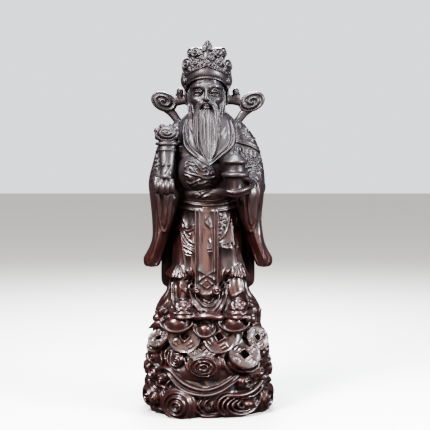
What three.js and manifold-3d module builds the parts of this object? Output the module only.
// A lu xing figure, cast in one piece with the heap of clouds, coins and ingots that it stands on.
// Millimetres, +Z up. The figure faces -Y, and +X is on a viewer's right. The underside is at z = 0.
import * as THREE from 'three';
import { mergeVertices } from 'three/addons/utils/BufferGeometryUtils.js';
import Module from 'manifold-3d';

const wasm = await Module();
wasm.setup();

// Driving dimensions

const height = 280;
const baseWide = 100;
const baseDeep = 78;
const faceX = -1; // the head sits a little to one side of the base
const forward = new THREE.Vector3(0, -1, 0);
const upward = new THREE.Vector3(0, 0, 1);
const weldTolerance = 0.5; // slivers finer than this are closed up

// How finely each form is cut: the number of faces around it and of rings along it
const facets = {
  heap: [24, 6],
  rock: [5, 4],
  ledge: [4, 4],
  swirl: [4, 8],
  crest: [4, 9],
  coin: 7,
  hull: [9, 6],
  dome: [8, 5],
  shoe: [9, 5],
  skirt: [24, 3],
  coat: [28, 5],
  train: [20, 4],
  chest: [16, 5],
  belly: [14, 8],
  lap: [9, 5],
  belt: 24,
  apron: [3, 5],
  curl: [7, 4],
  sleeve: [12, 8],
  cuff: [6, 3],
  forearm: [7, 1],
  hand: [8, 5],
  finger: [5, 3],
  stem: [8, 3],
  sceptreHead: [9, 5],
  jar: 10,
  head: [14, 9],
  neck: 8,
  nose: [5, 2],
  beard: [14, 4],
  ear: [5, 4],
  moustache: [4, 4],
  hat: [18, 4],
  lobe: [5, 4],
  band: [5, 2],
  scroll: [10, 6],
  tail: [5, 3],
};

// The heap, level by level: half width and half depth
const heapLevels = [
  { z: 0, wide: 46, deep: 35 },
  { z: 9, wide: 50, deep: 39 },
  { z: 24, wide: 47.5, deep: 36.5 },
  { z: 40, wide: 47.5, deep: 35.5 },
  { z: 54, wide: 42.5, deep: 32 },
  { z: 66, wide: 35, deep: 28.5 },
  { z: 76, wide: 31, deep: 25 },
];
const heapLumps = 9;
const heapLumpDepth = 0.035;

// The inner robe that spreads over the heap
const skirtLevels = [
  { z: 70, wide: 40, deep: 31, y: 1 },
  { z: 77, wide: 37.5, deep: 29.5, y: 1 },
  { z: 84, wide: 31, deep: 26 },
  { z: 96, wide: 29.5, deep: 24 },
  { z: 106, wide: 27, deep: 22 },
];
const skirtFolds = 11;
const skirtFoldDepth = 0.045;

// The coat below the belt. Its hem dips in scallops
const coatLevels = [
  { z: 100, wide: 33, deep: 27.5 },
  { z: 106, wide: 31, deep: 26.2 },
  { z: 118, wide: 29.5, deep: 25.4 },
  { z: 134, wide: 27.5, deep: 24.4 },
  { z: 148, wide: 25.5, deep: 23.4 },
  { z: 158, wide: 24.8, deep: 22.6 },
];
const hemDip = 4.6;
const hemWaves = 5;
const coatFoldDepth = 0.03;

// The cloth behind, which falls straight from the shoulders
const trainLevels = [
  { z: 96, wide: 36.5, deep: 20, y: 7 },
  { z: 106, wide: 36, deep: 19.5, y: 7 },
  { z: 130, wide: 35, deep: 19.5, y: 6.5 },
  { z: 165, wide: 33, deep: 20, y: 6 },
  { z: 205, wide: 27, deep: 16.5, y: 4 },
];
const trainFolds = 10;
const trainFoldDepth = 0.035;

const chestLevels = [
  { z: 152, wide: 25, deep: 22 },
  { z: 164, wide: 27, deep: 22.5 },
  { z: 180, wide: 29, deep: 22.5 },
  { z: 196, wide: 31.5, deep: 22 },
  { z: 208, wide: 28.5, deep: 20 },
  { z: 217, wide: 21, deep: 17.5 },
  { z: 227, wide: 12, deep: 13.5 },
];
const belly = { at: [-3.5, -12, 181.5], half: [17.5, 17, 15.5] };
const lap = { at: [0.5, -12.5, 166], half: [19, 14, 8.5] };

const belt = { wide: 25.8, deep: 24.4, tall: 5.9, thick: 3.4, z: 159, sag: 4.3 };

// The apron hanging from the belt, and the cloud curls it ends in
const apron = { left: -9.2, right: 7.6, top: 154, foot: 92, proud: 1.5, sunk: 4 };
const apronCurls = [{ x: -7.6, z: 94.6 }, { x: 6.2, z: 94.6 }];
const curlRadius = 3.6;

// The wide sleeves. The outer edge follows the outline, and the left one hangs a little fuller
const sleeveLevels = [
  { z: 107, x: 42, wide: 4, deep: 9, y: -6 },
  { z: 112, x: 41.5, wide: 7, deep: 14, y: -6 },
  { z: 120, x: 40, wide: 7.6, deep: 16.5, y: -6 },
  { z: 132, x: 36.5, wide: 6.8, deep: 16.5, y: -6.5 },
  { z: 146, x: 33, wide: 8.2, deep: 17, y: -6.5 },
  { z: 160, x: 31.5, wide: 10.8, deep: 18, y: -7 },
  { z: 174, x: 30.5, wide: 12.8, deep: 17, y: -5 },
  { z: 188, x: 28.5, wide: 13.4, deep: 14.5, y: -1 },
  { z: 200, x: 25.5, wide: 13, deep: 12.5, y: 1 },
  { z: 210, x: 21.5, wide: 12.2, deep: 10.5, y: 2 },
  { z: 219.5, x: 16, wide: 9.4, deep: 8, y: 2 },
];
const sleeveFolds = 6;
const sleeveFoldDepth = 0.07;
const leftFuller = 1.6;
const fullerBelow = 188;
const cuffLevels = [
  { z: 136.5, x: 32, wide: 3.2, deep: 3.4, y: -19 },
  { z: 145, x: 32, wide: 5.6, deep: 5, y: -20 },
  { z: 156, x: 32, wide: 7.4, deep: 6.4, y: -21 },
  { z: 166, x: 32, wide: 8.6, deep: 7.2, y: -22 },
  { z: 174, x: 32.5, wide: 7, deep: 6, y: -20 },
];
const forearm = { elbow: [35, -4, 170], wrist: [31, -27, 171], thick: [9.5, 7] };

// Hands and what they hold
const leftHand = { at: [-32, -31.5, 173], half: [8.2, 5.4, 5.6], fingers: [-0.6, 0.6] };
const rightHand = { at: [23.5, -29, 169], half: [9.5, 7, 4.6], fingers: [-0.2, 0.8] };
const finger = { count: 3, thick: 2.3, reach: 5.4 };
const sceptre = {
  route: [[-31, -31, 163], [-30.5, -29, 176], [-30, -24.5, 192], [-30, -20, 207]],
  widths: [[3, 2.6], [4.2, 3.2], [6.2, 4], [7.4, 4.6]],
  head: [-30.3, -18.5, 209.6],
  headHalf: [9.2, 8.5, 7.2],
};
const jar = {
  x: 20.2,
  y: -30.5,
  outline: [
    [0, 166], [5.4, 166], [7.4, 177.5], [10.2, 178.4], [10.2, 181], [8, 182],
    [8, 187], [8.8, 188], [8.8, 190], [4.4, 194.4], [1.9, 195.4], [0, 197.6],
  ],
};

// The head, without its features, which are cut finer than this solid carries
const head = { at: [faceX, -3, 237.5], half: [14.2, 15.4, 17.5] };
const nose = {
  route: [[faceX, -16.6, 243.5], [faceX, -18.6, 239.5], [faceX, -20, 236.2]],
  widths: [[1.2, 1], [1.5, 1.5], [2.6, 1.8]],
};
const ear = { apart: 14.4, at: [-1, 237], half: [1.7, 3.2, 5.6] };
const neck = { z: 216, tall: 20, half: 10.5 };
const beard = {
  route: [
    [faceX, -15, 232], [faceX, -19, 222], [faceX + 0.4, -20.5, 208], [faceX + 1.2, -23.5, 196],
    [faceX + 2.4, -27.5, 188],
  ],
  widths: [[8.5, 3.5], [9.4, 4.6], [9.2, 4], [6.2, 3], [0.7, 0.8]],
  locks: 7,
  lockDepth: 0.16,
};
const moustache = {
  route: [
    [0.8, -19.8, 232.4], [4.4, -19.2, 231.4], [7.4, -18.6, 227], [8.6, -19.6, 218],
    [8.2, -20.6, 208],
  ],
  widths: [[1, 0.9], [1.6, 1.3], [1.5, 1.2], [1.2, 1], [0.5, 0.5]],
};

// The hat, its crown of cloud lobes and its two wings
const hatLevels = [
  { z: 238, wide: 16.2, deep: 15.4, y: 1 },
  { z: 246, wide: 17, deep: 17.6, y: 0 },
  { z: 254, wide: 17, deep: 17.4 },
  { z: 262, wide: 15.4, deep: 15 },
  { z: 269, wide: 11.5, deep: 11 },
  { z: 273, wide: 6, deep: 6 },
];
const hatRise = 9.5;
const crownRings = [
  { z: 259.4, ring: 14, count: 10, half: [4.6, 4.2, 5.4], start: 0.5 },
  { z: 268.6, ring: 10.6, count: 6, half: [5.4, 4.6, 5.6], start: 0.5 },
];
const crownTop = { at: [faceX + 0.9, -1.6, 272.6], half: [4.6, 3.4, 7.4] };
const crownEars = { apart: 18, at: [-2, 250], half: [2.2, 3, 5] };
const wing = {
  band: [[14, 3, 236.4], [20, 3.6, 235.8], [27, 4, 235.6]],
  bandWidths: [[3.5, 2], [2.8, 1.9], [3.6, 2.2]],
  scroll: [32.6, 4, 234.6],
  scrollHalf: [9.9, 2.6, 7.2],
  scrollTilt: -0.42,
  tail: [[31, 4, 229.4], [26.5, 4, 225], [23, 3.5, 220.5], [18, 3, 215]],
  tailWidths: [[2.6, 1.9], [2.1, 1.8], [2.4, 2], [3, 2.4]],
  bud: [20.6, 3, 240],
  budHalf: [2.6, 2, 4.6],
};

const shoes = [
  { at: [-19.4, -24, 80.5], half: [9.6, 10.5, 7.6] },
  { at: [21.6, -24, 79], half: [9.4, 10.5, 7.6] },
];
const ledge = {
  route: [[-12, -26, 77.5], [-2, -30, 74.6], [9, -27, 76.5]],
  widths: [[2.6, 4.5], [2.4, 4.5], [2.6, 4.5]],
};

// The riches on the heap. Coins lean back on it, and ingots tip towards the front
const ingots = [
  { at: [-23.3, -27.5, 68.5], half: [12.6, 8.5, 6.4] },
  { at: [-2.2, -31, 64.6], half: [8.4, 7.6, 5.4] },
  { at: [19.6, -27.5, 68.8], half: [12, 8.5, 6.4] },
];
const ingotTip = 0.72;
const ingotCurl = 0.5;
const ingotCurlPower = 2.5;
const ingotHullDepth = 0.6;
const ingotDome = { long: 0.56, deep: 0.66 };
const coinThick = 2.6;
const coins = [
  { at: [-37, -17, 56.4], radius: 8.2, turn: -0.72, lean: 0.34, twist: 0.3 },
  { at: [-16.6, -29.4, 56.6], radius: 11, turn: -0.22, lean: 0.42, twist: 0.5 },
  { at: [8, -30, 56.2], radius: 11, turn: 0.1, lean: 0.42, twist: 0.2 },
  { at: [-5, -32, 49.6], radius: 9.6, turn: 0, lean: 0.5, twist: 0.7 },
  { at: [26.6, -28.4, 47.2], radius: 11.4, turn: 0.42, lean: 0.34, twist: 0.62 },
  { at: [29.6, -27.6, 41], radius: 10.4, turn: 0.46, lean: 0.3, twist: 0.2 },
  { at: [37, -17, 58], radius: 9, turn: 0.8, lean: 0.3, twist: 0.4 },
];
const coinHole = 0.3;

// Clouds and waves, each a rope wound up on the heap's face, and the long crest across the front
const swirls = [
  { x: -23.2, z: 42.4, radius: 5.2, thick: 1.6, turns: 1.5 },
  { x: -3.6, z: 39, radius: 10.5, thick: 2, turns: 1.7 },
  { x: -40.6, z: 38, radius: 6.4, thick: 1.8, turns: 1.4 },
  { x: -21.5, z: 11.5, radius: 9.8, thick: 2.4, turns: 1.6 },
  { x: 22.5, z: 12.5, radius: 10.6, thick: 2.4, turns: 1.6 },
  { x: 41, z: 27, radius: 6, thick: 1.8, turns: 1.4 },
];
const swirlPoints = 9;
const swirlTightness = 0.82;
const swirlRise = 1.6;
const backSwirls = [
  { x: -17, z: 34, radius: 11, thick: 2.2, turns: 1.5 },
  { x: 20, z: 17, radius: 11, thick: 2.2, turns: 1.5 },
];
const crest = {
  route: [[-41, 24], [-36, 33], [-29, 35], [-21, 28], [-4, 22], [10, 24], [23, 30.5]],
  widths: [[1.4, 1.2], [3.2, 2], [3.8, 2.4], [4, 2.6], [4, 2.6], [3.2, 2.2], [1, 1]],
};
const rocks = [
  { at: [-38.5, -9, 61], half: [6, 7, 5] },
  { at: [37.5, -8, 66], half: [6, 8, 6] },
  { at: [-35, 9, 60], half: [8, 11, 8] },
  { at: [34, 11, 60], half: [8, 11, 8] },
];

// Helpers that turn a three.js geometry into a solid

function toSolid(geometry) {
  geometry.deleteAttribute('normal');
  geometry.deleteAttribute('uv');
  const welded = mergeVertices(geometry);
  return new wasm.Manifold(new wasm.Mesh({
    numProp: 3,
    vertProperties: new Float32Array(welded.attributes.position.array),
    triVerts: new Uint32Array(welded.index.array),
  }));
}

// A closed skin of rings. pointAt gets the place along it (0 to 1), the turn from its front
// and the reach (0 on the axis, 1 on the rim)
function skin(sides, steps, pointAt) {
  const shape = new THREE.CylinderGeometry(1, 1, 1, sides, steps).rotateX(Math.PI / 2);
  shape.deleteAttribute('normal');
  shape.deleteAttribute('uv');
  const welded = mergeVertices(shape);
  const place = welded.attributes.position;
  for (let i = 0; i < place.count; i += 1) {
    const turn = Math.atan2(place.getX(i), -place.getY(i));
    const reach = Math.hypot(place.getX(i), place.getY(i));
    place.setXYZ(i, ...pointAt(place.getZ(i) + 0.5, turn, reach).toArray());
  }
  return toSolid(welded);
}

function curveThrough(points) {
  return new THREE.CatmullRomCurve3(points.map((point) => new THREE.Vector3(...point)));
}

// A form that stands upright, given as level rings. ripple carves its folds, and drop bends its lower edge
function loft(levels, [sides, steps], ripple = () => 1, drop = () => 0) {
  const centre = curveThrough(levels.map((level) => [level.x ?? 0, level.y ?? 0, level.z]));
  const size = curveThrough(levels.map((level) => [level.wide, level.deep, 0]));
  return skin(sides, steps, (along, turn, reach) => {
    const middle = centre.getPoint(along);
    const half = size.getPoint(along);
    const grow = reach * ripple(turn, along);
    return new THREE.Vector3(
      middle.x + half.x * grow * Math.sin(turn),
      middle.y - half.y * grow * Math.cos(turn),
      middle.z - reach * drop(turn) * (1 - along) ** 2,
    );
  });
}

// A form that follows a route. Each width is half the way across and half the thickness
function sweep(route, widths, [sides, steps], facing = forward, ripple = () => 1) {
  const path = curveThrough(route);
  const size = curveThrough(widths.map(([across, thick]) => [across, thick, 0]));
  return skin(sides, steps, (along, turn, reach) => {
    const heading = path.getTangent(along);
    const across = new THREE.Vector3().crossVectors(heading, facing).normalize();
    const inward = new THREE.Vector3().crossVectors(heading, across);
    const half = size.getPoint(along).multiplyScalar(reach * ripple(turn));
    return path.getPoint(along)
      .addScaledVector(across, half.x * Math.sin(turn))
      .addScaledVector(inward, -half.y * Math.cos(turn));
  });
}

function ball(at, half, [around, rings], tilt = 0) {
  const shape = new THREE.SphereGeometry(1, around, rings).rotateX(Math.PI / 2);
  shape.scale(...half);
  shape.rotateY(tilt);
  shape.translate(...at);
  return toSolid(shape);
}

function mirrored([x, y, z], side) {
  return [x * side, y, z];
}

function both(make) {
  return [-1, 1].map(make);
}

// How far forward a run of level rings reaches at a given place
function frontOf(levels, x, z) {
  const above = Math.max(1, levels.findIndex((level) => level.z >= z));
  const [low, high] = [levels[above - 1], levels[above]];
  const part = THREE.MathUtils.clamp((z - low.z) / (high.z - low.z), 0, 1);
  const wide = THREE.MathUtils.lerp(low.wide, high.wide, part);
  const deep = THREE.MathUtils.lerp(low.deep, high.deep, part);
  return -deep * Math.sqrt(Math.max(0, 1 - (x / wide) ** 2));
}

// The heap and what lies on it

function makeHeap() {
  const lumps = (turn, along) => {
    const fade = Math.sin(Math.PI * along) * Math.abs(Math.sin(2 * turn));
    return 1 - heapLumpDepth * fade * (1 + Math.cos(heapLumps * turn + 5 * along));
  };
  return [
    loft(heapLevels, facets.heap, lumps),
    ...rocks.map((rock) => ball(rock.at, rock.half, facets.rock)),
    sweep(ledge.route, ledge.widths, facets.ledge),
  ];
}

function makeSwirl({ x, z, radius, thick, turns }, side) {
  const route = Array.from({ length: swirlPoints }, (unused, i) => {
    const part = i / (swirlPoints - 1);
    const angle = 2 * Math.PI * turns * part;
    const reach = radius * (1 - swirlTightness * part);
    const px = x + reach * Math.cos(angle);
    const pz = Math.max(z + reach * Math.sin(angle), thick);
    return [px, side * (swirlRise * part - frontOf(heapLevels, px, pz)), pz];
  });
  const widths = [thick / 2, thick, thick, thick].map((half) => [half, half]);
  return sweep(route, widths, facets.swirl);
}

function makeCrest() {
  const route = crest.route.map(([x, z]) => [x, frontOf(heapLevels, x, z), z]);
  return sweep(route, crest.widths, facets.crest);
}

function makeCoin({ at, radius, turn, lean, twist }) {
  const outline = new THREE.Shape().absarc(0, 0, radius, 0, 2 * Math.PI);
  const half = coinHole * radius;
  const hole = [[half, half], [half, -half], [-half, -half], [-half, half]];
  outline.holes.push(new THREE.Path(hole.map(([x, y]) => new THREE.Vector2(x, y))));
  const shape = new THREE.ExtrudeGeometry(outline, {
    depth: coinThick, bevelEnabled: false, curveSegments: facets.coin,
  });
  shape.translate(0, 0, -coinThick / 2);
  shape.rotateZ(twist).rotateX(Math.PI / 2 - lean).rotateZ(turn).translate(...at);
  return toSolid(shape);
}

function makeIngot({ at, half: [long, deep, tall] }) {
  const hull = new THREE.SphereGeometry(1, ...facets.hull).rotateX(Math.PI / 2);
  const place = hull.attributes.position;
  for (let i = 0; i < place.count; i += 1) {
    const curl = ingotCurl * Math.abs(place.getX(i)) ** ingotCurlPower;
    const z = tall * (ingotHullDepth * place.getZ(i) + curl);
    place.setXYZ(i, long * place.getX(i), deep * place.getY(i), z);
  }
  const dome = new THREE.SphereGeometry(1, ...facets.dome).rotateX(Math.PI / 2);
  dome.scale(ingotDome.long * long, ingotDome.deep * deep, tall);
  return [hull, dome].map((shape) => toSolid(shape.rotateX(ingotTip).translate(...at)));
}

// The robe

function makeRobe() {
  const folds = (count, depth) => (turn, along) => 1 + depth * (1 - along) * Math.cos(count * turn);
  const hem = (turn) => hemDip * Math.sin(hemWaves * turn / 2) ** 2;
  return [
    loft(skirtLevels, facets.skirt, folds(skirtFolds, skirtFoldDepth)),
    loft(coatLevels, facets.coat, folds(hemWaves, -coatFoldDepth), hem),
    loft(trainLevels, facets.train, folds(trainFolds, trainFoldDepth)),
    loft(chestLevels, facets.chest),
    ball(belly.at, belly.half, facets.belly),
    ball(lap.at, lap.half, facets.lap),
  ];
}

function makeBelt() {
  const inner = 1 - belt.thick / belt.wide;
  const section = [[1, -0.5], [1, 0.5], [inner, 0.5], [inner, -0.5], [1, -0.5]];
  const hoop = new THREE.LatheGeometry(section.map(([x, y]) => new THREE.Vector2(x, y)), facets.belt);
  hoop.rotateX(Math.PI / 2);
  const place = hoop.attributes.position;
  for (let i = 0; i < place.count; i += 1) {
    const turn = Math.atan2(place.getX(i), -place.getY(i));
    const z = belt.tall * place.getZ(i) + beltHeight(turn);
    place.setXYZ(i, belt.wide * place.getX(i), belt.deep * place.getY(i), z);
  }
  return toSolid(hoop);
}

function beltHeight(turn) {
  return belt.z - belt.sag * Math.max(0, Math.cos(turn)) ** 2;
}

function makeApron() {
  const sheet = new THREE.BoxGeometry(1, 1, 1, facets.apron[0], 1, facets.apron[1]);
  const place = sheet.attributes.position;
  for (let i = 0; i < place.count; i += 1) {
    const x = THREE.MathUtils.lerp(apron.left, apron.right, place.getX(i) + 0.5);
    const z = THREE.MathUtils.lerp(apron.foot, apron.top, place.getZ(i) + 0.5);
    const push = place.getY(i) < 0 ? -apron.proud : apron.sunk;
    place.setXYZ(i, x, frontOf(coatLevels, x, z) + push, z);
  }
  const curls = apronCurls.map(({ x, z }) => ball(
    [x, frontOf(coatLevels, x, z) - apron.proud, z],
    [curlRadius, curlRadius / 2, curlRadius],
    facets.curl,
  ));
  return [toSolid(sheet), ...curls];
}

function makeSleeve(side) {
  const levels = sleeveLevels.map((level) => {
    const fuller = side < 0 && level.z < fullerBelow ? leftFuller / 2 : 0;
    return { ...level, x: side * (level.x + fuller), wide: level.wide + fuller };
  });
  const folds = (turn, along) => 1 + sleeveFoldDepth * (1 - along) * Math.cos(sleeveFolds * turn);
  const cuff = cuffLevels.map((level) => ({ ...level, x: side * level.x }));
  const [elbow, wrist] = [mirrored(forearm.elbow, side), mirrored(forearm.wrist, side)];
  const [thick, thin] = forearm.thick;
  return [
    loft(levels, facets.sleeve, folds),
    loft(cuff, facets.cuff),
    sweep([elbow, wrist], [[thick, thick], [thin, thin]], facets.forearm, upward),
  ];
}

// The hands, the sceptre and the jar

function makeFingers({ at: [x, y, z], half: [wide, deep], fingers }) {
  return Array.from({ length: finger.count }, (unused, i) => {
    const part = THREE.MathUtils.lerp(...fingers, i / (finger.count - 1));
    const at = [x + wide * part, y - 0.7 * deep, z];
    return ball(at, [finger.thick, 0.6 * deep, finger.reach], facets.finger);
  });
}

function makeSceptre() {
  return [
    sweep(sceptre.route, sceptre.widths, facets.stem),
    ball(sceptre.head, sceptre.headHalf, facets.sceptreHead),
  ];
}

function makeJar() {
  const outline = jar.outline.map(([reach, z]) => new THREE.Vector2(reach, z));
  const turned = new THREE.LatheGeometry(outline, facets.jar).rotateX(Math.PI / 2);
  return toSolid(turned.translate(jar.x, jar.y, 0));
}

// The head, the beard and the hat

function makeHead() {
  const throat = new THREE.CylinderGeometry(neck.half, neck.half, neck.tall, facets.neck);
  throat.rotateX(Math.PI / 2).translate(faceX, 0, neck.z);
  const locks = (turn) => 1 + beard.lockDepth * Math.cos(beard.locks * turn);
  return [
    ball(head.at, head.half, facets.head),
    sweep(nose.route, nose.widths, facets.nose),
    toSolid(throat),
    sweep(beard.route, beard.widths, facets.beard, forward, locks),
    ...both((side) => {
      const [y, z] = ear.at;
      return ball([faceX + side * ear.apart, y, z], ear.half, facets.ear);
    }),
    ...both((side) => {
      const route = moustache.route.map(([x, y, z]) => [faceX + side * x, y, z]);
      return sweep(route, moustache.widths, facets.moustache);
    }),
  ];
}

function makeHat() {
  const levels = hatLevels.map((level) => ({ ...level, x: faceX }));
  const rise = (turn) => -hatRise * Math.max(0, Math.cos(turn)) ** 0.5;
  const lobes = crownRings.flatMap(({ z, ring, count, half, start }) => (
    Array.from({ length: count }, (unused, i) => {
      const turn = 2 * Math.PI * (i + start) / count;
      return ball([faceX + ring * Math.sin(turn), -ring * Math.cos(turn), z], half, facets.lobe);
    })
  ));
  const ears = both((side) => {
    const [y, z] = crownEars.at;
    return ball([faceX + side * crownEars.apart, y, z], crownEars.half, facets.ear);
  });
  return [
    loft(levels, facets.hat, () => 1, rise),
    ball(crownTop.at, crownTop.half, facets.lobe),
    ...lobes,
    ...ears,
  ];
}

function makeWing(side) {
  return [
    sweep(wing.band.map((point) => mirrored(point, side)), wing.bandWidths, facets.band),
    ball(mirrored(wing.scroll, side), wing.scrollHalf, facets.scroll, side * wing.scrollTilt),
    sweep(wing.tail.map((point) => mirrored(point, side)), wing.tailWidths, facets.tail),
    ball(mirrored(wing.bud, side), wing.budHalf, facets.rock),
  ];
}

// Everything is welded, trimmed to the overall size and freed of any hollow that the parts close off

function makeFigure() {
  const parts = [
    ...makeHeap(),
    ...swirls.map((swirl) => makeSwirl(swirl, -1)),
    ...backSwirls.map((swirl) => makeSwirl(swirl, 1)),
    makeCrest(),
    ...coins.map(makeCoin),
    ...ingots.flatMap(makeIngot),
    ...shoes.map((shoe) => ball(shoe.at, shoe.half, facets.shoe)),
    ...makeRobe(),
    makeBelt(),
    ...makeApron(),
    ...both(makeSleeve).flat(),
    ball(leftHand.at, leftHand.half, facets.hand),
    ball(rightHand.at, rightHand.half, facets.hand),
    ...makeFingers(leftHand),
    ...makeFingers(rightHand),
    ...makeSceptre(),
    makeJar(),
    ...makeHead(),
    ...makeHat(),
    ...both(makeWing).flat(),
  ];
  const room = toSolid(new THREE.BoxGeometry(baseWide, baseDeep, height).translate(0, 0, height / 2));
  const whole = parts.reduce((sum, part) => sum.add(part)).intersect(room).simplify(weldTolerance);
  const larger = (one, other) => (other.volume() > one.volume() ? other : one);
  return whole.decompose().reduce(larger);
}

function toMesh(name, solid, material) {
  const { vertProperties, triVerts } = solid.getMesh();
  const geometry = new THREE.BufferGeometry();
  geometry.setAttribute('position', new THREE.BufferAttribute(vertProperties, 3));
  geometry.setIndex(new THREE.BufferAttribute(triVerts, 1));
  geometry.computeVertexNormals();
  const mesh = new THREE.Mesh(geometry, material);
  mesh.name = name;
  return mesh;
}

const resin = new THREE.MeshStandardMaterial({ color: 0x3a1712, roughness: 0.35, metalness: 0 });
const figure = new THREE.Group();
figure.name = 'lu_xing';
figure.add(toMesh('figure', makeFigure(), resin));

export default figure;
